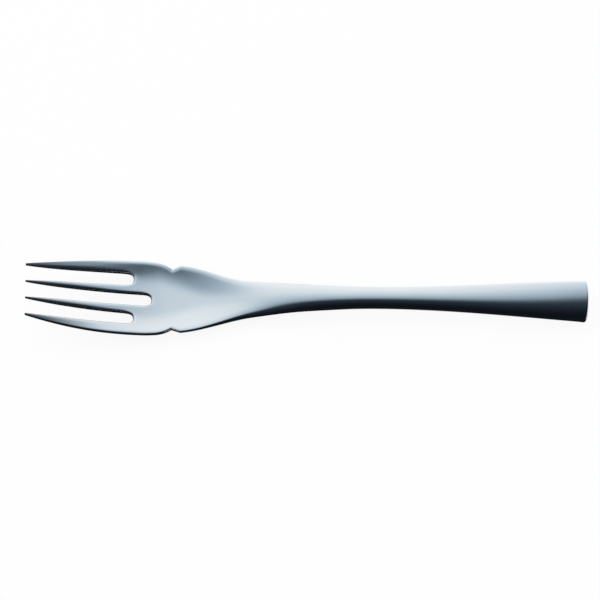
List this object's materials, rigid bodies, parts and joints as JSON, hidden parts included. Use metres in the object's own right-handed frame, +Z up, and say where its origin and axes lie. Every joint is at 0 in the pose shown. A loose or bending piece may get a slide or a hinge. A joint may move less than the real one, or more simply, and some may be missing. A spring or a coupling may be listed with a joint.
{
  "type": "fish fork",
  "caption": "Long slim table fork for fish: pointed tines, shallow dished head with a notch on each side, slim neck and a thick oval handle that flares to a straight-cut butt.",
  "frame": {"origin": "middle of the fork's length and width, on the table that it lies on", "axes": "+X along the fork from the tine tips to the butt, +Y across it, +Z up out of the hollow of the head"},
  "size_m": [0.1851, 0.0262, 0.0113],
  "materials": {
    "stainless_steel": "fine satin polish, nearly mirror",
    "handle_cement": "cast, matt"
  },
  "bodies": {
    "root": {"fork_head": "stainless_steel", "upper_shell": "stainless_steel", "lower_shell": "stainless_steel", "butt_cap": "stainless_steel", "handle_filling": "handle_cement"}
  },
  "joints": []
}
